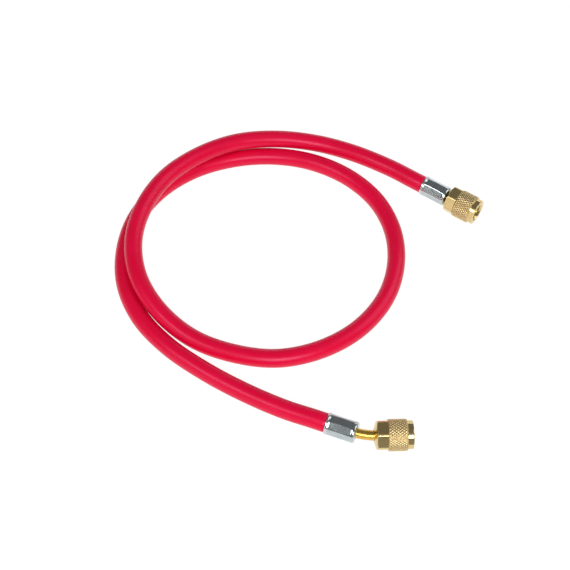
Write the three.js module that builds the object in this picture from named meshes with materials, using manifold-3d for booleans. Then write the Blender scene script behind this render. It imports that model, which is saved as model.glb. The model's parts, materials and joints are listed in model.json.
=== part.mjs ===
// A red refrigerant charging hose: one rubber tube lying in a loose coil, with a crimped steel
// ferrule, a brass stem and a knurled brass swivel nut on each end. End b has a bent neck.
// Units are millimetres, +Z is up and the floor is z = 0.
import * as THREE from "three";
import { mergeVertices } from "three/addons/utils/BufferGeometryUtils.js";
import Module from "manifold-3d";

const wasm = await Module();
wasm.setup();

// Clearances between neighbouring pieces
const SEAT_GAP = 0.3;
const COLLAR_SIDE_GAP = 0.4;

// Hose: 3/16 inch bore, squeezed to a smaller diameter under each ferrule
const HOSE_DIAMETER = 11.2;
const HOSE_BORE = 4.8;
const HOSE_SQUEEZE = 0.7;
const HOSE_STRAIGHT_LEAD = 8;
const HOSE_SIDES = 12;
const HOSE_STEPS = 66;

// Ferrule: a cup over the hose's end, crimped to flats between a rear lip and a round shoulder
const FERRULE_LENGTH = 17.6;
const FERRULE_WALL = 1.05;
const FERRULE_END_WALL = 2.3;
const FERRULE_LIP_HEIGHT = 0.2;
const FERRULE_LIP_LENGTH = 1.1;
const FERRULE_FLAT_DEPTH = 0.25;
const FERRULE_FLATS = 8;
const FERRULE_SHOULDER_LENGTH = 2.4;
const FERRULE_NOSE_DROP = 0.95;
const FERRULE_NOSE_LENGTH = 1.3;

// Stem: a tail inside the hose, a neck, and a collar with a cone that the nut pulls forward
const TAIL_START = 1;
const NECK_DIAMETER = 6;
const STEM_BORE = 2.6;
const COLLAR_LENGTH = 3;
const SEAT_CONE_LENGTH = 1.6;

// Swivel nut, turned from 5/8 inch hexagon bar, for a 7/16-20 thread (1/4 inch flare)
const NUT_FLATS = 6;
const NUT_ACROSS_FLATS = 15.9;
const NUT_CORNER_DIAMETER = 17.5;
const NUT_BACK_DIAMETER = 15.2;
const NUT_BACK_EDGE_LENGTH = 0.7;
const NUT_BACK_CONE_RIM = 0.5;
const NUT_BACK_CONE_LENGTH = 1.2;
const NUT_HEX_LENGTH = 6.4;
const NUT_KNURL_DIAMETER = 18;
const NUT_KNURL_LENGTH = 10.9;
const NUT_KNURL_EDGE = 0.8;
const NUT_BAND_DIAMETER = 16.4;
const NUT_BAND_LENGTH = 3.3;
const NUT_BAND_EDGE = 0.5;
const NUT_BACK_WALL = 5;
const NUT_BORE = 10;
const NUT_MOUTH_CHAMFER = 0.8;

// Where each fitting lies: the point where the hose enters its ferrule, and the way it points
const FITTING_A = {
  mouth: [79.5, 74],
  azimuthDegrees: -35,
  neckBeforeBend: 0,
  neckAfterBend: SEAT_GAP + NUT_BACK_CONE_LENGTH,
  bendDegrees: 0,
};
const FITTING_B = {
  mouth: [12.5, -100],
  azimuthDegrees: -20.5,
  neckBeforeBend: 5,
  neckAfterBend: 6.1,
  bendDegrees: 22,
};

// The hose's centre line between the two fittings: it rises over itself on the far left, leans on
// its other strand down the left side, goes round on the floor and passes under its first strand
const ROUTE_POINTS = [
  [58.5, 89.5, 8.2],
  [34.5, 102.5, 8.4],
  [9, 109.5, 10.6],
  [-18, 110, 14],
  [-44, 104.5, 16.6],
  [-68, 92, 17.4],
  [-87.5, 74, 17.5],
  [-100, 50.5, 17.2],
  [-105, 24.5, 16],
  [-100.5, -2, 13.8],
  [-87, -24.5, 10.4],
  [-66.5, -42, 7],
  [-42, -52, 5.8],
  [-15, -55.5, 5.7],
  [11, -49, 5.7],
  [33.5, -34.5, 5.7],
  [50, -13, 5.7],
  [58, 12.5, 5.7],
  [57.5, 39, 5.7],
  [48, 64, 5.7],
  [30, 84, 5.7],
  [6.5, 97, 5.7],
  [-19.5, 102, 5.7],
  [-46, 99.5, 5.7],
  [-71, 90, 5.7],
  [-92, 73, 5.7],
  [-106, 50.5, 5.7],
  [-111.5, 24, 5.7],
  [-109, -2.5, 5.7],
  [-98, -27, 5.7],
  [-80.5, -47, 5.7],
  [-59, -63.5, 5.8],
  [-36.5, -77.5, 6.4],
  [-12.5, -90, 7.7],
];

// How far a cutting shape runs past the face it cuts, and how far joined lengths reach into each other
const CUT_OVERRUN = 1;
const JOIN_OVERLAP = 1;

const ROUND_SIDES = 32;
const BORE_SIDES = 16;
const PASSAGE_SIDES = 8;
const NECK_STEPS = 6;

const axisHeight = NUT_KNURL_DIAMETER / 2;
const nutLength = NUT_HEX_LENGTH + NUT_KNURL_LENGTH + NUT_BAND_LENGTH;
const hoseCrimpedDiameter = HOSE_DIAMETER - 2 * HOSE_SQUEEZE;
const ferruleBore = hoseCrimpedDiameter + 2 * SEAT_GAP;
const ferruleDiameter = ferruleBore + 2 * FERRULE_WALL;
const ferruleCupDepth = FERRULE_LENGTH - FERRULE_END_WALL;
const hoseInsertion = ferruleCupDepth - SEAT_GAP;
const stemHole = NECK_DIAMETER + 2 * SEAT_GAP;

const red_rubber = new THREE.MeshStandardMaterial({ color: "#d3113c", roughness: 0.42, metalness: 0 });
const zinc_plate = new THREE.MeshStandardMaterial({ color: "#a9b1b3", roughness: 0.32, metalness: 0.95 });
const brass = new THREE.MeshStandardMaterial({ color: "#c2a468", roughness: 0.34, metalness: 0.95 });
const drawn_brass = new THREE.MeshStandardMaterial({ color: "#c8953a", roughness: 0.25, metalness: 0.95 });

function solidOf(geometry) {
  const bare = geometry.clone();
  bare.deleteAttribute("normal");
  bare.deleteAttribute("uv");
  const merged = mergeVertices(bare);
  return new wasm.Manifold(new wasm.Mesh({
    numProp: 3,
    vertProperties: new Float32Array(merged.attributes.position.array),
    triVerts: new Uint32Array(merged.index.array),
  }));
}

function geometryOf(solid) {
  const mesh = solid.getMesh();
  const geometry = new THREE.BufferGeometry();
  geometry.setAttribute("position", new THREE.BufferAttribute(mesh.vertProperties, 3));
  geometry.setIndex(new THREE.BufferAttribute(mesh.triVerts, 1));
  geometry.computeVertexNormals();
  return geometry;
}

// A solid turned about the X axis from [along, radius] points listed from back to front
function turned(profile, sides = ROUND_SIDES) {
  const points = profile.map(([along, radius]) => new THREE.Vector2(radius, along));
  const geometry = new THREE.LatheGeometry(points, sides);
  geometry.rotateZ(-Math.PI / 2);
  return solidOf(geometry);
}

// A plain rod along the X axis
function rod(from, to, diameter, sides = ROUND_SIDES) {
  return turned([[from, 0], [from, diameter / 2], [to, diameter / 2], [to, 0]], sides);
}

// A prism along the X axis with a flat facing straight up
function prism(from, to, acrossFlats, flats) {
  const cornerRadius = acrossFlats / 2 / Math.cos(Math.PI / flats);
  const geometry = new THREE.CylinderGeometry(cornerRadius, cornerRadius, to - from, flats);
  geometry.rotateY(Math.PI / flats);
  geometry.rotateZ(-Math.PI / 2);
  geometry.translate((from + to) / 2, 0, 0);
  return solidOf(geometry);
}

// A round tube swept along a path, or a rod where the bore is zero
function swept(diameter, bore, path, steps, sides) {
  const section = new THREE.Shape();
  section.absarc(0, 0, diameter / 2, 0, 2 * Math.PI);
  if (bore > 0) {
    section.holes.push(new THREE.Path().absarc(0, 0, bore / 2, 0, 2 * Math.PI));
  }
  const options = { steps, curveSegments: sides / 2, bevelEnabled: false, extrudePath: path };
  return solidOf(new THREE.ExtrudeGeometry(section, options));
}

function direction(degrees) {
  const angle = THREE.MathUtils.degToRad(degrees);
  return new THREE.Vector3(Math.cos(angle), Math.sin(angle), 0);
}

function mouthOf(fitting) {
  return new THREE.Vector3(fitting.mouth[0], fitting.mouth[1], axisHeight);
}

// Where the nut's back face lies, and its turn, in the fitting's own frame
function nutSeat(fitting) {
  const after = direction(fitting.bendDegrees).multiplyScalar(fitting.neckAfterBend);
  return new THREE.Vector3(FERRULE_LENGTH + fitting.neckBeforeBend, 0, 0).add(after);
}

function placedAt(fitting, solid) {
  const { x, y, z } = mouthOf(fitting);
  return solid.rotate([0, 0, fitting.azimuthDegrees]).translate([x, y, z]);
}

// The hose: swept along its whole route, with the crimped stretch at each end turned down
function hose() {
  const pointsOnAxis = (fitting, alongs) => alongs.map((along) =>
    mouthOf(fitting).addScaledVector(direction(fitting.azimuthDegrees), along));
  const centreLine = new THREE.CatmullRomCurve3([
    ...pointsOnAxis(FITTING_A, [hoseInsertion, 0, -HOSE_STRAIGHT_LEAD]),
    ...ROUTE_POINTS.map((point) => new THREE.Vector3(...point)),
    ...pointsOnAxis(FITTING_B, [-HOSE_STRAIGHT_LEAD, 0, hoseInsertion]),
  ], false, "centripetal");
  const tube = swept(HOSE_DIAMETER, HOSE_BORE, centreLine, HOSE_STEPS, HOSE_SIDES);
  const crimpRing = rod(-SEAT_GAP, 2 * hoseInsertion, 2 * HOSE_DIAMETER)
    .subtract(rod(-2 * SEAT_GAP, 3 * hoseInsertion, hoseCrimpedDiameter));
  const crimped = [FITTING_A, FITTING_B].map((fitting) => placedAt(fitting, crimpRing));
  return geometryOf(tube.subtract(crimped[0]).subtract(crimped[1]));
}

function ferrule() {
  const body = ferruleDiameter / 2;
  const nose = body - FERRULE_NOSE_DROP;
  const crimpEnd = FERRULE_LENGTH - FERRULE_SHOULDER_LENGTH;
  const noseStart = FERRULE_LENGTH - FERRULE_NOSE_LENGTH;
  const lip = rod(0, FERRULE_LIP_LENGTH, ferruleDiameter + 2 * FERRULE_LIP_HEIGHT);
  const crimped = rod(0, noseStart, ferruleDiameter)
    .intersect(prism(-CUT_OVERRUN, FERRULE_LENGTH, ferruleDiameter - 2 * FERRULE_FLAT_DEPTH, FERRULE_FLATS));
  const shoulder = turned([
    [crimpEnd, 0],
    [crimpEnd, body],
    [noseStart, body],
    [FERRULE_LENGTH, nose],
    [FERRULE_LENGTH, 0],
  ]);
  const cup = rod(-CUT_OVERRUN, ferruleCupDepth, ferruleBore);
  const hole = rod(0, FERRULE_LENGTH + CUT_OVERRUN, stemHole, BORE_SIDES);
  return geometryOf(lip.add(crimped).add(shoulder).subtract(cup).subtract(hole));
}

// The stem in its fitting's frame, from the tail inside the hose to the cone inside the nut
function stem(fitting) {
  const seat = nutSeat(fitting);
  const nutDirection = direction(fitting.bendDegrees);
  const collarStart = NUT_BACK_WALL + SEAT_GAP;
  const collarEnd = collarStart + COLLAR_LENGTH;
  const coneEnd = collarEnd + SEAT_CONE_LENGTH;
  const neckRadius = NECK_DIAMETER / 2;
  const collarRadius = NUT_BORE / 2 - COLLAR_SIDE_GAP;
  const tail = rod(TAIL_START, ferruleCupDepth + JOIN_OVERLAP, HOSE_BORE - 2 * SEAT_GAP, BORE_SIDES);
  const shank = rod(ferruleCupDepth, FERRULE_LENGTH, NECK_DIAMETER, BORE_SIDES);
  const collar = turned([
    [0, 0],
    [0, neckRadius],
    [collarStart, neckRadius],
    [collarStart, collarRadius],
    [collarEnd, collarRadius],
    [coneEnd, neckRadius],
    [coneEnd, 0],
  ], BORE_SIDES);
  const inNut = (solid) => solid.rotate([0, 0, fitting.bendDegrees]).translate([seat.x, seat.y, seat.z]);
  const start = new THREE.Vector3(FERRULE_LENGTH - JOIN_OVERLAP, 0, 0);
  const end = seat.clone().addScaledVector(nutDirection, JOIN_OVERLAP);
  const handle = (start.distanceTo(end)) / 3;
  const bend = new THREE.CubicBezierCurve3(
    start,
    start.clone().add(new THREE.Vector3(handle, 0, 0)),
    end.clone().addScaledVector(nutDirection, -handle),
    end,
  );
  const neck = swept(NECK_DIAMETER, 0, bend, NECK_STEPS, BORE_SIDES);
  const passage = swept(STEM_BORE, 0, bend, NECK_STEPS, PASSAGE_SIDES)
    .add(rod(0, FERRULE_LENGTH, STEM_BORE, PASSAGE_SIDES))
    .add(inNut(rod(0, coneEnd + CUT_OVERRUN, STEM_BORE, PASSAGE_SIDES)));
  return geometryOf(tail.add(shank).add(neck).add(inNut(collar)).subtract(passage));
}

function swivelNut() {
  const corner = NUT_CORNER_DIAMETER / 2;
  const knurl = NUT_KNURL_DIAMETER / 2;
  const band = NUT_BAND_DIAMETER / 2;
  const knurlEnd = NUT_HEX_LENGTH + NUT_KNURL_LENGTH;
  const bar = prism(-2 * NUT_BACK_CONE_LENGTH, nutLength + CUT_OVERRUN, NUT_ACROSS_FLATS, NUT_FLATS);
  const core = turned([
    [-NUT_BACK_CONE_LENGTH, 0],
    [-NUT_BACK_CONE_LENGTH, stemHole / 2 + NUT_BACK_CONE_RIM],
    [0, NUT_BACK_DIAMETER / 2],
    [NUT_BACK_EDGE_LENGTH, corner],
    [NUT_HEX_LENGTH, corner],
    [NUT_HEX_LENGTH, band],
    [nutLength - NUT_BAND_EDGE, band],
    [nutLength, band - NUT_BAND_EDGE],
    [nutLength, 0],
  ]);
  const grip = turned([
    [NUT_HEX_LENGTH, 0],
    [NUT_HEX_LENGTH, knurl - NUT_KNURL_EDGE],
    [NUT_HEX_LENGTH + NUT_KNURL_EDGE, knurl],
    [knurlEnd - NUT_KNURL_EDGE, knurl],
    [knurlEnd, knurl - NUT_KNURL_EDGE],
    [knurlEnd, 0],
  ]);
  const hole = rod(-2 * NUT_BACK_CONE_LENGTH, NUT_BACK_WALL + CUT_OVERRUN, stemHole, BORE_SIDES);
  const bore = turned([
    [NUT_BACK_WALL, 0],
    [NUT_BACK_WALL, NUT_BORE / 2],
    [nutLength - NUT_MOUTH_CHAMFER, NUT_BORE / 2],
    [nutLength, NUT_BORE / 2 + NUT_MOUTH_CHAMFER],
    [nutLength + CUT_OVERRUN, NUT_BORE / 2 + NUT_MOUTH_CHAMFER],
    [nutLength + CUT_OVERRUN, 0],
  ]);
  return geometryOf(core.intersect(bar).add(grip).subtract(hole).subtract(bore));
}

function named(name, geometry, material) {
  const mesh = new THREE.Mesh(geometry, material);
  mesh.name = name;
  return mesh;
}

// One end's fitting; the mark is its letter, a or b
function fittingGroup(mark, fitting) {
  const nut = new THREE.Group();
  nut.add(named(`swivel_nut_${mark}`, swivelNut(), brass));
  nut.position.copy(nutSeat(fitting));
  nut.rotation.z = THREE.MathUtils.degToRad(fitting.bendDegrees);
  const group = new THREE.Group();
  group.add(named(`ferrule_${mark}`, ferrule(), zinc_plate));
  group.add(named(`stem_${mark}`, stem(fitting), drawn_brass));
  group.add(nut);
  group.position.copy(mouthOf(fitting));
  group.rotation.z = THREE.MathUtils.degToRad(fitting.azimuthDegrees);
  return group;
}

const charging_hose = new THREE.Group();
charging_hose.add(named("hose", hose(), red_rubber));
charging_hose.add(fittingGroup("a", FITTING_A));
charging_hose.add(fittingGroup("b", FITTING_B));

export default charging_hose;
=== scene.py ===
# A red refrigerant charging hose in a loose coil, with crimped ferrules and knurled brass swivel nuts.
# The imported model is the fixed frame. Every piece here is built around it, in metres.
import json
import math

import bpy
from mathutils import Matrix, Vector


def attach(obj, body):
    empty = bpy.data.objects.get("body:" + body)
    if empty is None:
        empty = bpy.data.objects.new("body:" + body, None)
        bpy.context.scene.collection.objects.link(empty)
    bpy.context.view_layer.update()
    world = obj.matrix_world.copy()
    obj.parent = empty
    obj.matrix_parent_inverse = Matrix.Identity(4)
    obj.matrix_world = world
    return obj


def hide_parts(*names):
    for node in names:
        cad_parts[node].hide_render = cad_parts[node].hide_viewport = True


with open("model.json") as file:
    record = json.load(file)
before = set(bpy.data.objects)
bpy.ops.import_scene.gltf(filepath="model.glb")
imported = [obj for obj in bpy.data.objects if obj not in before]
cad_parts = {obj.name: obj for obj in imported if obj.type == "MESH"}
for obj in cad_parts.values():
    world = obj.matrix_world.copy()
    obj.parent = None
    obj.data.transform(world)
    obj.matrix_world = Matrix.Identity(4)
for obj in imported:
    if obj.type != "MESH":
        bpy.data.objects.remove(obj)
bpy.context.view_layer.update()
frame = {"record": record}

MM = 0.001
UP = Vector((0, 0, 1))

# Hose
HOSE_RADIUS = 5.6 * MM
HOSE_BORE_RADIUS = 2.4 * MM
HOSE_CRIMPED_RADIUS = 4.9 * MM
HOSE_INSERTION = 15 * MM
HOSE_STRAIGHT_LEAD = 8 * MM
HOSE_SQUEEZE_LENGTH = 1.2 * MM
HOSE_SQUEEZE_INSIDE = 0.4
HOSE_SIDES = 56
HOSE_STEP = 2 * MM
HOSE_FINE_REACH = 4.8 * MM
ROUTE_STEPS_PER_SPAN = 40

# Ferrule
FERRULE_LENGTH = 17.6 * MM
FERRULE_RADIUS = 6.25 * MM
FERRULE_LIP_RADIUS = 6.45 * MM
FERRULE_LIP_LENGTH = 1.1 * MM
FERRULE_LIP_FADE = 0.9 * MM
FERRULE_LIP_ROUNDING = 0.12 * MM
FERRULE_FLAT_RADIUS = 5.98 * MM
FERRULE_FLATS = 8
FERRULE_BOW = 0.1 * MM
FERRULE_SHOULDER_LENGTH = 2.6 * MM
FERRULE_CRIMP_FADE = 0.9 * MM
FERRULE_NOSE_RADIUS = 5.3 * MM
FERRULE_NOSE_LENGTH = 1.3 * MM
FERRULE_NOSE_CURVE = 0.96
FERRULE_CUP_RADIUS = 5.2 * MM
FERRULE_CUP_DEPTH = 15.3 * MM
FERRULE_HOLE_RADIUS = 3.3 * MM
FERRULE_HOLE_EDGE = 0.2 * MM
FERRULE_MOUTH_ROUNDING = 0.45 * MM
FERRULE_MOUTH_FLARE = 0.3 * MM
FERRULE_MOUTH_START = 0.15 * MM
FERRULE_SIDES = 192

# Stem
TAIL_START = 1 * MM
TAIL_RADIUS = 2.1 * MM
TAIL_EDGE_LENGTH = 0.3 * MM
NECK_RADIUS = 3 * MM
NECK_WAIST = 0.12 * MM
NECK_STEPS = 28
NECK_LOOK_AHEAD = 0.01
NECK_OVERLAP = 1 * MM
STEM_BORE_RADIUS = 1.3 * MM
COLLAR_START = 5.3 * MM
COLLAR_LENGTH = 3 * MM
COLLAR_RADIUS = 4.6 * MM
STEM_EDGE = 0.2 * MM
SEAT_CONE_LENGTH = 1.6 * MM
STEM_SIDES = 64

# Swivel nut
NUT_FLATS = 6
NUT_FLAT_RADIUS = 7.95 * MM
NUT_CORNER_RADIUS = 8.75 * MM
NUT_BACK_RADIUS = 7.6 * MM
NUT_BACK_EDGE = 0.7 * MM
NUT_CONE_RADIUS = 3.8 * MM
NUT_CONE_LENGTH = 1.2 * MM
NUT_HEX_LENGTH = 6.4 * MM
NUT_KNURL_RADIUS = 9 * MM
NUT_KNURL_LENGTH = 10.9 * MM
NUT_KNURL_EDGE = 0.5 * MM
NUT_BAND_RADIUS = 8.2 * MM
NUT_BAND_LENGTH = 3.3 * MM
NUT_BAND_EDGE = 0.5 * MM
NUT_LENGTH = NUT_HEX_LENGTH + NUT_KNURL_LENGTH + NUT_BAND_LENGTH
NUT_BACK_WALL = 5 * MM
NUT_HOLE_RADIUS = 3.3 * MM
NUT_BORE_RADIUS = 5 * MM
NUT_MOUTH_CHAMFER = 0.8 * MM
KNURL_STARTS = 36
KNURL_CELL = 2.18 * MM
KNURL_DEPTH = 0.28 * MM
KNURL_CREST = 0.8
THREAD_PITCH = 1.27 * MM
THREAD_DEPTH = 0.5 * MM
THREAD_FLANK = 1.4
THREAD_CREST = 0.2
THREAD_BACK_GAP = THREAD_PITCH
THREAD_RUNOUT = 0.1 * THREAD_PITCH
THREAD_RINGS = 80
KNURL_RINGS_PER_CELL = 10
NUT_SIDES = 360

# Rings this far to either side of an edge keep it crisp
RING_GAP = 0.01 * MM

# Edges sharper than this stay sharp
SHARP_ANGLE = math.radians(34)

# Where each fitting lies: the point where the hose enters its ferrule, the way it points, how far the
# flats of its ferrule are turned, and how far its nut, which turns freely, is turned from the solid
FITTING_A = {
    "mark": "a",
    "mouth": (79.5 * MM, 74 * MM),
    "azimuth": math.radians(-35),
    "flats_turned": math.radians(-4),
    "nut_turned": 0.0,
}
FITTING_B = {
    "mark": "b",
    "mouth": (12.5 * MM, -100 * MM),
    "azimuth": math.radians(-20.5),
    "flats_turned": math.radians(10),
    "nut_turned": math.radians(4),
}
AXIS_HEIGHT = NUT_KNURL_RADIUS

# The hose's route between its two straight ends, in millimetres, as in the part's source
ROUTE_POINTS = [
    (58.5, 89.5, 8.2),
    (34.5, 102.5, 8.4),
    (9, 109.5, 10.6),
    (-18, 110, 14),
    (-44, 104.5, 16.6),
    (-68, 92, 17.4),
    (-87.5, 74, 17.5),
    (-100, 50.5, 17.2),
    (-105, 24.5, 16),
    (-100.5, -2, 13.8),
    (-87, -24.5, 10.4),
    (-66.5, -42, 7),
    (-42, -52, 5.8),
    (-15, -55.5, 5.7),
    (11, -49, 5.7),
    (33.5, -34.5, 5.7),
    (50, -13, 5.7),
    (58, 12.5, 5.7),
    (57.5, 39, 5.7),
    (48, 64, 5.7),
    (30, 84, 5.7),
    (6.5, 97, 5.7),
    (-19.5, 102, 5.7),
    (-46, 99.5, 5.7),
    (-71, 90, 5.7),
    (-92, 73, 5.7),
    (-106, 50.5, 5.7),
    (-111.5, 24, 5.7),
    (-109, -2.5, 5.7),
    (-98, -27, 5.7),
    (-80.5, -47, 5.7),
    (-59, -63.5, 5.8),
    (-36.5, -77.5, 6.4),
    (-12.5, -90, 7.7),
]

# Camera: 55 degrees down, looking at this point of the floor, with the focal length in image pixels
CAMERA_TARGET = Vector((-11 * MM, 1 * MM, 0))
CAMERA_ELEVATION = math.radians(55)
CAMERA_DISTANCE = 689.65 * MM
CAMERA_SENSOR = 36
CAMERA_FOCAL_PIXELS = 1111.44
IMAGE_PIXELS = 570

# Floor: its reach, its colour, its glow near the hose and far from it, and where the glow fades
FLOOR_HALF = 6.0
FLOOR_COLOUR = (0.08, 0.08, 0.08, 1)
FLOOR_BRIGHT = 0.96
FLOOR_DIM = 0.62
FLOOR_BRIGHT_REACH = 0.26
FLOOR_DIM_REACH = 1.1

# Light: the studio's grey, then each lamp's name, place, target, size, power and colour
STUDIO_GREY = (0.17, 0.17, 0.17, 1)
WHITE = (1, 1, 1)
PALE_BLUE = (0.85, 0.92, 1.0)
LAMPS = [
    ("front_box", (0.1, -1.2, 1.0), (0, 0, 0), (0.8, 0.65), 14, WHITE),
    ("left_box", (-1.02, -0.66, 1.26), (0, 0, 0), (0.6, 0.6), 7, WHITE),
    ("right_box", (1.3, 0.35, 1.2), (0, 0, 0), (1.5, 1.5), 11, WHITE),
    ("low_card", (-1.1, -1.0, 0.3), (0, 0, 0.05), (0.8, 0.5), 1.2, WHITE),
    ("back_card", (0, 1.6, 0.35), (0, 0, 0.05), (2.4, 0.5), 5, PALE_BLUE),
]

# The part of a noise texture's range that it mostly keeps to
NOISE_RANGE = (0.3, 0.7)

# Colours, linear. A pair is mixed in soft clouds
RUBBER_COLOURS = ((0.69, 0.001, 0.036), (0.735, 0.002, 0.042))
RUBBER_GLEAM = (1, 0.6, 0.95, 1)
ZINC_COLOURS = ((0.47, 0.52, 0.52), (0.54, 0.59, 0.60))
LIP_COLOUR = (0.68, 0.66, 0.69)
TURNED_BRASS_COLOURS = ((0.68, 0.51, 0.22), (0.75, 0.58, 0.28))
KNURL_COLOUR = (0.86, 0.70, 0.39)
# Painted shade: this brown darkens the knurl's grooves in step with their depth
GROOVE_SHADE_COLOUR = (0.56, 0.47, 0.35)
DRAWN_BRASS_COLOURS = ((0.70, 0.42, 0.08), (0.80, 0.51, 0.13))

# The knurl's roughness, written as a grey so that it can be mixed like a colour
KNURL_ROUGHNESS = (0.42, 0.42, 0.42)


# Places

def direction(azimuth):
    return Vector((math.cos(azimuth), math.sin(azimuth), 0))


def mouth_of(fitting):
    x, y = fitting["mouth"]
    return Vector((x, y, AXIS_HEIGHT))


def nut_seat(fitting):
    """The middle of the nut's back and the way the nut points, from its joint."""
    joints = frame["record"]["behaviour"]["joints"]
    joint = next(j for j in joints if j["name"] == f"nut_{fitting['mark']}_swivel")
    return Vector(joint["pos_m"]), Vector(joint["axis"]).normalized()


def smooth_step(value):
    value = min(1.0, max(0.0, value))
    return value * value * (3 - 2 * value)


def even_steps(start, end, count):
    """count + 1 evenly spaced numbers from start to end."""
    return [start + (end - start) * i / count for i in range(count + 1)]


# Meshes made of closed rings

def ring(centre, along, radius, sides):
    """Points round a centre, counted from the right-hand side over the top.

    The radius is a number or a function of the angle.
    """
    side = along.cross(UP).normalized()
    top = side.cross(along).normalized()
    points = []
    for i in range(sides):
        angle = 2 * math.pi * i / sides
        r = radius(angle) if callable(radius) else radius
        points.append(centre + side * (r * math.cos(angle)) + top * (r * math.sin(angle)))
    return points


def closed_skin(name, rings, marks=None):
    """A mesh through a loop of rings: the outside from back to front, then the inside back again."""
    sides = len(rings[0])
    points = [p for points_round in rings for p in points_round]
    faces = []
    for i in range(len(rings)):
        here = i * sides
        after = (i + 1) % len(rings) * sides
        for j in range(sides):
            k = (j + 1) % sides
            faces.append((here + j, here + k, after + k, after + j))
    mesh = bpy.data.meshes.new(name)
    mesh.from_pydata(points, [], faces)
    for mark, values in (marks or {}).items():
        layer = mesh.attributes.new(mark, "FLOAT", "POINT")
        layer.data.foreach_set("value", values)
    mesh.validate()
    mesh.shade_smooth()
    mesh.set_sharp_from_angle(angle=SHARP_ANGLE)
    piece = bpy.data.objects.new(name, mesh)
    bpy.context.scene.collection.objects.link(piece)
    return piece


def finished(piece, material, slot, body, *nodes):
    piece.data.materials.append(material)
    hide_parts(*nodes)
    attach(piece, body)
    return piece


# Material nodes

def new_material(name):
    material = bpy.data.materials.new(name)
    material.use_nodes = True
    return material, material.node_tree, material.node_tree.nodes["Principled BSDF"]


def add_noise(tree, vector, scale, detail=3.0, roughness=0.55):
    noise = tree.nodes.new("ShaderNodeTexNoise")
    noise.inputs["Scale"].default_value = scale
    noise.inputs["Detail"].default_value = detail
    noise.inputs["Roughness"].default_value = roughness
    tree.links.new(vector, noise.inputs["Vector"])
    return noise.outputs["Fac"]


def object_place(tree):
    return tree.nodes.new("ShaderNodeTexCoord").outputs["Object"]


def attribute(tree, name):
    node = tree.nodes.new("ShaderNodeAttribute")
    node.attribute_name = name
    return node.outputs["Fac"]


def clouded(tree, factor, colours):
    """One colour where the noise is low and the other where it is high."""
    node = tree.nodes.new("ShaderNodeValToRGB")
    for element, at, colour in zip(node.color_ramp.elements, NOISE_RANGE, colours):
        element.position = at
        element.color = (*colour, 1)
    tree.links.new(factor, node.inputs["Fac"])
    return node.outputs["Color"]


def spread(tree, factor, low, high):
    """The factor mapped to low at the start of the noise's range and to high at its end."""
    node = tree.nodes.new("ShaderNodeMapRange")
    node.inputs["From Min"].default_value = NOISE_RANGE[0]
    node.inputs["From Max"].default_value = NOISE_RANGE[1]
    node.inputs["To Min"].default_value = low
    node.inputs["To Max"].default_value = high
    tree.links.new(factor, node.inputs["Value"])
    return node.outputs["Result"]


def mixed(tree, kind, factor, first, second):
    node = tree.nodes.new("ShaderNodeMix")
    node.data_type = "RGBA"
    node.blend_type = kind
    for value, socket in ((factor, node.inputs[0]), (first, node.inputs[6]), (second, node.inputs[7])):
        if isinstance(value, bpy.types.NodeSocket):
            tree.links.new(value, socket)
        else:
            socket.default_value = (*value, 1)
    return node.outputs[2]


def bump(tree, shader, height, strength, distance, normal=None):
    node = tree.nodes.new("ShaderNodeBump")
    node.inputs["Strength"].default_value = strength
    node.inputs["Distance"].default_value = distance
    tree.links.new(height, node.inputs["Height"])
    if normal is not None:
        tree.links.new(normal, node.inputs["Normal"])
    tree.links.new(node.outputs["Normal"], shader.inputs["Normal"])
    return node.outputs["Normal"]


def line_noise(tree, mark, scale):
    """Noise that changes only along one of the mesh's marks, as turning and drawing lines do."""
    join = tree.nodes.new("ShaderNodeCombineXYZ")
    tree.links.new(attribute(tree, mark), join.inputs["X"])
    return add_noise(tree, join.outputs["Vector"], scale, detail=4.0, roughness=0.7)


def rubber_material():
    material, tree, shader = new_material("red_rubber")
    place = object_place(tree)
    blotches = add_noise(tree, place, scale=45)
    wear = add_noise(tree, place, scale=160)
    grain = add_noise(tree, place, scale=1600, detail=2.0)
    tree.links.new(clouded(tree, blotches, RUBBER_COLOURS), shader.inputs["Base Color"])
    tree.links.new(spread(tree, wear, low=0.28, high=0.36), shader.inputs["Roughness"])
    shader.inputs["Specular IOR Level"].default_value = 0.32
    shader.inputs["Specular Tint"].default_value = RUBBER_GLEAM
    bump(tree, shader, grain, strength=0.08, distance=0.1 * MM)
    return material


def zinc_material():
    material, tree, shader = new_material("zinc_plate")
    place = object_place(tree)
    clouds = add_noise(tree, place, scale=260, detail=1.0)
    wear = add_noise(tree, place, scale=300)
    colour = clouded(tree, clouds, ZINC_COLOURS)
    bright_lip = mixed(tree, "MIX", attribute(tree, "lip"), colour, LIP_COLOUR)
    tree.links.new(bright_lip, shader.inputs["Base Color"])
    shader.inputs["Metallic"].default_value = 1.0
    tree.links.new(spread(tree, wear, low=0.16, high=0.19), shader.inputs["Roughness"])
    bump(tree, shader, clouds, strength=0.03, distance=0.2 * MM)
    return material


def turned_brass_material():
    material, tree, shader = new_material("turned_brass")
    place = object_place(tree)
    clouds = add_noise(tree, place, scale=220)
    lines = line_noise(tree, "along", scale=9000)
    grain = add_noise(tree, place, scale=2400, detail=2.0)
    colour = clouded(tree, clouds, TURNED_BRASS_COLOURS)
    pressed = mixed(tree, "MIX", attribute(tree, "knurl"), colour, KNURL_COLOUR)
    # Painted shade: the knurl's grooves are darkened in step with their depth
    grooves = spread(tree, attribute(tree, "groove"), low=0.0, high=1.0)
    painted_groove_shade = mixed(tree, "MULTIPLY", grooves, pressed, GROOVE_SHADE_COLOUR)
    tree.links.new(painted_groove_shade, shader.inputs["Base Color"])
    shader.inputs["Metallic"].default_value = 1.0
    turned_gloss = spread(tree, lines, low=0.17, high=0.25)
    gloss = mixed(tree, "MIX", attribute(tree, "knurl"), turned_gloss, KNURL_ROUGHNESS)
    tree.links.new(gloss, shader.inputs["Roughness"])
    turning = bump(tree, shader, lines, strength=0.06, distance=0.08 * MM)
    bump(tree, shader, grain, strength=0.03, distance=0.1 * MM, normal=turning)
    return material


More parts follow.
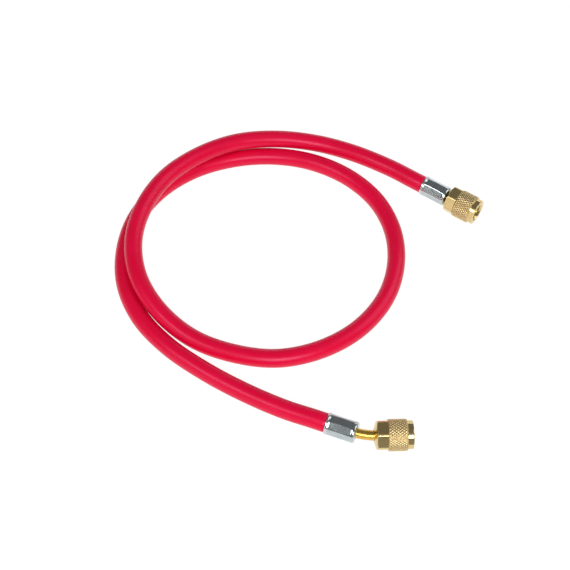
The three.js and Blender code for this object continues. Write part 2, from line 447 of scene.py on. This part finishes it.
def drawn_brass_material():
    material, tree, shader = new_material("drawn_brass")
    place = object_place(tree)
    clouds = add_noise(tree, place, scale=300)
    wear = add_noise(tree, place, scale=1100)
    lines = line_noise(tree, "along", scale=5000)
    tree.links.new(clouded(tree, clouds, DRAWN_BRASS_COLOURS), shader.inputs["Base Color"])
    shader.inputs["Metallic"].default_value = 1.0
    tree.links.new(spread(tree, wear, low=0.26, high=0.34), shader.inputs["Roughness"])
    bump(tree, shader, lines, strength=0.1, distance=0.05 * MM)
    return material


# The hose

def catmull_rom(points, per_span):
    """A centripetal Catmull-Rom curve through the points."""
    points = [2 * points[0] - points[1], *points, 2 * points[-1] - points[-2]]
    line = []
    for p0, p1, p2, p3 in zip(points, points[1:], points[2:], points[3:]):
        d0, d1, d2 = (math.sqrt((q - p).length) for p, q in ((p0, p1), (p1, p2), (p2, p3)))
        t1 = ((p1 - p0) / d0 - (p2 - p0) / (d0 + d1) + (p2 - p1) / d1) * d1
        t2 = ((p2 - p1) / d1 - (p3 - p1) / (d1 + d2) + (p3 - p2) / d2) * d1
        for i in range(per_span):
            t = i / per_span
            curve = p1 + t1 * t + (3 * (p2 - p1) - 2 * t1 - t2) * t ** 2
            line.append(curve + (2 * (p1 - p2) + t1 + t2) * t ** 3)
    line.append(points[-2])
    return line


def spaced_evenly(line, step):
    """The same line with its points about step apart, and the distance from its start to each."""
    lengths = [0.0]
    for p, q in zip(line, line[1:]):
        lengths.append(lengths[-1] + (q - p).length)
    count = round(lengths[-1] / step)
    result = []
    k = 0
    for wanted in even_steps(0, lengths[-1], count):
        while k < len(line) - 2 and lengths[k + 1] < wanted:
            k += 1
        share = (wanted - lengths[k]) / (lengths[k + 1] - lengths[k])
        result.append(line[k].lerp(line[k + 1], share))
    return result, lengths[-1]


def hose_path():
    points = []
    mouth, along = mouth_of(FITTING_A), direction(FITTING_A["azimuth"])
    for reach in (HOSE_INSERTION, 0, -HOSE_STRAIGHT_LEAD):
        points.append(mouth + along * reach)
    points += [Vector(point) * MM for point in ROUTE_POINTS]
    mouth, along = mouth_of(FITTING_B), direction(FITTING_B["azimuth"])
    for reach in (-HOSE_STRAIGHT_LEAD, 0, HOSE_INSERTION):
        points.append(mouth + along * reach)
    return spaced_evenly(catmull_rom(points, ROUTE_STEPS_PER_SPAN), HOSE_STEP / 2)


def build_hose():
    """The hose, with its rings twice as close near the ferrules as between them."""
    path, length = hose_path()
    mesh_points = []
    outside = []
    inside = []
    for i, point in enumerate(path):
        at = length * i / (len(path) - 1)
        to_mouth = min(at, length - at) - HOSE_INSERTION
        if i % 2 and to_mouth > HOSE_FINE_REACH:
            continue
        along = (path[min(i + 1, len(path) - 1)] - path[max(i - 1, 0)]).normalized()
        freed = smooth_step(to_mouth / HOSE_SQUEEZE_LENGTH + HOSE_SQUEEZE_INSIDE)
        radius = HOSE_CRIMPED_RADIUS + (HOSE_RADIUS - HOSE_CRIMPED_RADIUS) * freed
        mesh_points.append(point)
        outside.append(ring(point, along, radius, HOSE_SIDES))
        inside.append(ring(point, along, HOSE_BORE_RADIUS, HOSE_SIDES))
    piece = closed_skin("charging_hose", outside + inside[::-1])
    finished(piece, rubber_material(), "red_rubber", "hose_line", "hose")
    return piece, mesh_points, length


# The ferrules

def flat_distance(angle, flats, turned):
    """How far the angle is from the middle of its flat, with a flat facing straight up."""
    share = 2 * math.pi / flats
    return (angle - math.pi / 2 - turned + share / 2) % share - share / 2


def ferrule_radius(at, angle, turned):
    crimp_end = FERRULE_LENGTH - FERRULE_SHOULDER_LENGTH
    if at < FERRULE_LIP_LENGTH:
        edge = abs(at / FERRULE_LIP_LENGTH - 0.5) * 2
        return FERRULE_LIP_RADIUS - FERRULE_LIP_ROUNDING * edge ** 3
    off = abs(flat_distance(angle, FERRULE_FLATS, turned))
    middle = (at - FERRULE_LIP_LENGTH) / (crimp_end - FERRULE_LIP_LENGTH)
    bow = FERRULE_BOW * math.sin(math.pi * min(1.0, max(0.0, middle)))
    crimped = min(FERRULE_RADIUS, (FERRULE_FLAT_RADIUS - bow) / math.cos(off))
    round_end = smooth_step((at - crimp_end) / FERRULE_CRIMP_FADE)
    round_end = max(round_end, 1 - smooth_step((at - FERRULE_LIP_LENGTH) / FERRULE_LIP_FADE))
    radius = crimped + (FERRULE_RADIUS - crimped) * round_end
    nose_start = FERRULE_LENGTH - FERRULE_NOSE_LENGTH
    if at > nose_start:
        curve = (at - nose_start) / FERRULE_NOSE_LENGTH
        drop = FERRULE_RADIUS - FERRULE_NOSE_RADIUS
        rounding = 1 - math.sqrt(1 - FERRULE_NOSE_CURVE * curve ** 2)
        radius -= drop * rounding / (1 - math.sqrt(1 - FERRULE_NOSE_CURVE))
    return radius


def build_ferrule(fitting, material):
    mouth = mouth_of(fitting)
    along = direction(fitting["azimuth"])
    turned = fitting["flats_turned"]
    outside = even_steps(0, FERRULE_LIP_LENGTH, 6)
    outside += even_steps(FERRULE_LIP_LENGTH + 2 * RING_GAP, FERRULE_LENGTH, 64)
    rings = []
    lips = []
    for at in outside:
        centre = mouth + along * at
        rings.append(ring(centre, along, lambda a: ferrule_radius(at, a, turned), FERRULE_SIDES))
        lips += [1 - smooth_step((at - FERRULE_LIP_LENGTH) / FERRULE_LIP_FADE)] * FERRULE_SIDES
    inside = [
        (FERRULE_LENGTH, FERRULE_HOLE_RADIUS + FERRULE_HOLE_EDGE),
        (FERRULE_LENGTH - FERRULE_HOLE_EDGE, FERRULE_HOLE_RADIUS),
        (FERRULE_CUP_DEPTH, FERRULE_HOLE_RADIUS),
        (FERRULE_CUP_DEPTH, FERRULE_CUP_RADIUS),
        (FERRULE_MOUTH_START + FERRULE_MOUTH_ROUNDING, FERRULE_CUP_RADIUS),
        (FERRULE_MOUTH_START, FERRULE_CUP_RADIUS + FERRULE_MOUTH_FLARE),
    ]
    for at, radius in inside:
        rings.append(ring(mouth + along * at, along, radius, FERRULE_SIDES))
        lips += [0.0] * FERRULE_SIDES
    mark = fitting["mark"]
    piece = closed_skin(f"crimped_ferrule_{mark}", rings, {"lip": lips})
    return finished(piece, material, "zinc_plate", "hose_line", f"ferrule_{mark}")


# The stems

def bezier(p0, p1, p2, p3, t):
    return p0 * (1 - t) ** 3 + 3 * p1 * t * (1 - t) ** 2 + 3 * p2 * t ** 2 * (1 - t) + p3 * t ** 3


def stem_stations(fitting):
    """(centre, direction, outer radius, distance) from the tail in the hose to the cone in the nut."""
    mouth = mouth_of(fitting)
    along = direction(fitting["azimuth"])
    seat, nut_along = nut_seat(fitting)
    start = mouth + along * (FERRULE_LENGTH - NECK_OVERLAP)
    end = seat + nut_along * NECK_OVERLAP
    handle = (end - start).length / 3
    stations = [(mouth + along * at, along, radius, at) for at, radius in (
        (TAIL_START, TAIL_RADIUS - STEM_EDGE),
        (TAIL_START + TAIL_EDGE_LENGTH, TAIL_RADIUS),
        (FERRULE_CUP_DEPTH, TAIL_RADIUS),
        (FERRULE_CUP_DEPTH, NECK_RADIUS),
    )]
    pulls = (start, start + along * handle, end - nut_along * handle, end)
    for t in even_steps(0, 1, NECK_STEPS):
        centre = bezier(*pulls, t)
        ahead = bezier(*pulls, t + NECK_LOOK_AHEAD)
        waist = NECK_WAIST * math.sin(math.pi * t)
        way = (ahead - centre).normalized()
        stations.append((centre, way, NECK_RADIUS - waist, FERRULE_LENGTH + handle * 3 * t))
    collar_end = COLLAR_START + COLLAR_LENGTH
    for at, radius in (
        (COLLAR_START, NECK_RADIUS),
        (COLLAR_START, COLLAR_RADIUS - STEM_EDGE),
        (COLLAR_START + STEM_EDGE, COLLAR_RADIUS),
        (collar_end - STEM_EDGE, COLLAR_RADIUS),
        (collar_end, COLLAR_RADIUS - STEM_EDGE),
        (collar_end + SEAT_CONE_LENGTH, NECK_RADIUS),
    ):
        stations.append((seat + nut_along * at, nut_along, radius, FERRULE_LENGTH + at))
    return stations


def build_stem(fitting, material):
    stations = stem_stations(fitting)
    rings = []
    marks = []
    for centre, way, radius, at in stations:
        rings.append(ring(centre, way, radius, STEM_SIDES))
        marks += [at] * STEM_SIDES
    for centre, way, radius, at in stations[::-1]:
        rings.append(ring(centre, way, STEM_BORE_RADIUS, STEM_SIDES))
        marks += [at] * STEM_SIDES
    name = f"brass_stem_{fitting['mark']}"
    piece = closed_skin(name, rings, {"along": marks})
    return finished(piece, material, "drawn_brass", "hose_line", f"stem_{fitting['mark']}")


# The swivel nuts

def saw(value):
    """0 at whole numbers and 1 half way between them."""
    return 1 - abs(2 * (value % 1.0) - 1)


def knurl_height(at, angle):
    turn = KNURL_STARTS * angle / (2 * math.pi)
    step = (at - NUT_HEX_LENGTH) / KNURL_CELL
    return min(1.0, min(saw(turn + step), saw(turn - step)) / KNURL_CREST)


def nut_flat_radius(angle):
    return NUT_FLAT_RADIUS / math.cos(flat_distance(angle, NUT_FLATS, 0))


def nut_radius(at, angle):
    knurl_end = NUT_HEX_LENGTH + NUT_KNURL_LENGTH
    if at < 0:
        share = 1 + at / NUT_CONE_LENGTH
        return NUT_CONE_RADIUS + (NUT_BACK_RADIUS - NUT_CONE_RADIUS) * share
    if at < NUT_HEX_LENGTH:
        share = min(1.0, at / NUT_BACK_EDGE)
        turned = NUT_BACK_RADIUS + (NUT_CORNER_RADIUS - NUT_BACK_RADIUS) * share
        return min(turned, nut_flat_radius(angle))
    if at < knurl_end:
        from_end = min(at - NUT_HEX_LENGTH, knurl_end - at)
        edge = NUT_KNURL_RADIUS - max(0.0, NUT_KNURL_EDGE - from_end)
        cut = NUT_KNURL_RADIUS - KNURL_DEPTH * (1 - knurl_height(at, angle))
        return min(edge, cut)
    to_front = NUT_LENGTH - at
    curve = max(0.0, 1 - to_front / NUT_BAND_EDGE)
    band = NUT_BAND_RADIUS - NUT_BAND_EDGE * (1 - math.sqrt(max(0.0, 1 - curve ** 2)))
    return min(band, nut_flat_radius(angle))


def thread_radius(at, angle):
    turn = (at - NUT_BACK_WALL) / THREAD_PITCH + angle / (2 * math.pi)
    return NUT_BORE_RADIUS + THREAD_DEPTH * min(1.0, max(0.0, THREAD_FLANK * saw(turn) - THREAD_CREST))


def build_nut(fitting, material):
    seat, along = nut_seat(fitting)
    turned = fitting["nut_turned"]
    knurl_end = NUT_HEX_LENGTH + NUT_KNURL_LENGTH
    knurl_rows = round(NUT_KNURL_LENGTH / KNURL_CELL * KNURL_RINGS_PER_CELL)
    outside = even_steps(-NUT_CONE_LENGTH, -RING_GAP, 3)
    outside += even_steps(RING_GAP, NUT_BACK_EDGE, 5)
    outside += even_steps(NUT_BACK_EDGE + RING_GAP, NUT_HEX_LENGTH - RING_GAP, 4)
    outside += even_steps(NUT_HEX_LENGTH + RING_GAP, knurl_end - RING_GAP, knurl_rows)
    outside += even_steps(knurl_end + RING_GAP, NUT_LENGTH - NUT_BAND_EDGE, 5)
    outside += even_steps(NUT_LENGTH - NUT_BAND_EDGE + RING_GAP, NUT_LENGTH, 5)
    rings = []
    depths = []
    knurls = []
    places = []
    for at in outside:
        rings.append(ring(seat + along * at, along, lambda a: nut_radius(at, a - turned), NUT_SIDES))
        knurled = NUT_HEX_LENGTH < at < knurl_end
        for i in range(NUT_SIDES):
            angle = 2 * math.pi * i / NUT_SIDES - turned
            depths.append(1 - knurl_height(at, angle) if knurled else 0.0)
        knurls += [1.0 if knurled else 0.0] * NUT_SIDES
        places += [at] * NUT_SIDES
    thread_start = NUT_LENGTH - NUT_MOUTH_CHAMFER
    inside = [(NUT_LENGTH, NUT_BORE_RADIUS + NUT_MOUTH_CHAMFER)]
    thread_end = NUT_BACK_WALL + THREAD_BACK_GAP
    inside += [(at, None) for at in even_steps(thread_start, thread_end, THREAD_RINGS)]
    inside += [
        (thread_end - THREAD_RUNOUT, NUT_BORE_RADIUS),
        (NUT_BACK_WALL, NUT_BORE_RADIUS),
        (NUT_BACK_WALL, NUT_HOLE_RADIUS),
        (-NUT_CONE_LENGTH, NUT_HOLE_RADIUS),
    ]
    for at, radius in inside:
        shape = radius if radius is not None else lambda a: thread_radius(at, a)
        rings.append(ring(seat + along * at, along, shape, NUT_SIDES))
        depths += [0.0] * NUT_SIDES
        knurls += [0.0] * NUT_SIDES
        places += [at] * NUT_SIDES
    mark = fitting["mark"]
    # The groove depth is also the mask for the painted shade in the knurl's grooves
    marks = {"groove": depths, "knurl": knurls, "along": places}
    piece = closed_skin(f"knurled_nut_{mark}", rings, marks)
    return finished(piece, material, "turned_brass", f"nut_{mark}", f"swivel_nut_{mark}")


# Camera, floor and light

def build_camera():
    data = bpy.data.cameras.new("camera")
    data.sensor_width = CAMERA_SENSOR
    data.lens = CAMERA_SENSOR * CAMERA_FOCAL_PIXELS / IMAGE_PIXELS
    data.clip_start = 0.05
    data.clip_end = 20
    camera = bpy.data.objects.new("camera", data)
    back = Vector((0, -math.cos(CAMERA_ELEVATION), math.sin(CAMERA_ELEVATION)))
    camera.location = CAMERA_TARGET + back * CAMERA_DISTANCE
    camera.rotation_mode = "QUATERNION"
    camera.rotation_quaternion = (-back).to_track_quat("-Z", "Y")
    bpy.context.scene.collection.objects.link(camera)
    bpy.context.scene.camera = camera


def build_floor():
    mesh = bpy.data.meshes.new("floor")
    corners = [(x * FLOOR_HALF, y * FLOOR_HALF, 0) for x, y in ((-1, -1), (1, -1), (1, 1), (-1, 1))]
    mesh.from_pydata(corners, [], [(0, 1, 2, 3)])
    floor = bpy.data.objects.new("floor", mesh)
    bpy.context.scene.collection.objects.link(floor)
    material, tree, shader = new_material("pale_floor")
    shader.inputs["Base Color"].default_value = FLOOR_COLOUR
    shader.inputs["Roughness"].default_value = 0.9
    shader.inputs["Specular IOR Level"].default_value = 0
    shader.inputs["Emission Color"].default_value = (1, 1, 1, 1)
    distance = tree.nodes.new("ShaderNodeVectorMath")
    distance.operation = "LENGTH"
    tree.links.new(object_place(tree), distance.inputs[0])
    glow = tree.nodes.new("ShaderNodeMapRange")
    glow.interpolation_type = "SMOOTHSTEP"
    glow.inputs["From Min"].default_value = FLOOR_BRIGHT_REACH
    glow.inputs["From Max"].default_value = FLOOR_DIM_REACH
    glow.inputs["To Min"].default_value = FLOOR_BRIGHT
    glow.inputs["To Max"].default_value = FLOOR_DIM
    tree.links.new(distance.outputs["Value"], glow.inputs["Value"])
    tree.links.new(glow.outputs["Result"], shader.inputs["Emission Strength"])
    mesh.materials.append(material)


def area_light(name, place, target, size, power, colour):
    data = bpy.data.lights.new(name, "AREA")
    data.shape = "RECTANGLE"
    data.size, data.size_y = size
    data.energy = power
    data.color = colour
    light = bpy.data.objects.new(name, data)
    light.location = place
    light.rotation_mode = "QUATERNION"
    light.rotation_quaternion = (Vector(target) - Vector(place)).to_track_quat("-Z", "Y")
    bpy.context.scene.collection.objects.link(light)


def build_light():
    world = bpy.data.worlds.new("studio")
    world.use_nodes = True
    world.node_tree.nodes["Background"].inputs["Color"].default_value = STUDIO_GREY
    world.node_tree.nodes["Background"].inputs["Strength"].default_value = 1
    bpy.context.scene.world = world
    for lamp in LAMPS:
        area_light(*lamp)


build_camera()
hose, hose_points, hose_length = build_hose()
fittings = (FITTING_A, FITTING_B)
zinc = zinc_material()
drawn_brass = drawn_brass_material()
turned_brass = turned_brass_material()
ferrules = [build_ferrule(fitting, zinc) for fitting in fittings]
stems = [build_stem(fitting, drawn_brass) for fitting in fittings]
nuts = [build_nut(fitting, turned_brass) for fitting in fittings]
build_floor()
build_light()
bpy.context.scene.view_settings.view_transform = "Standard"
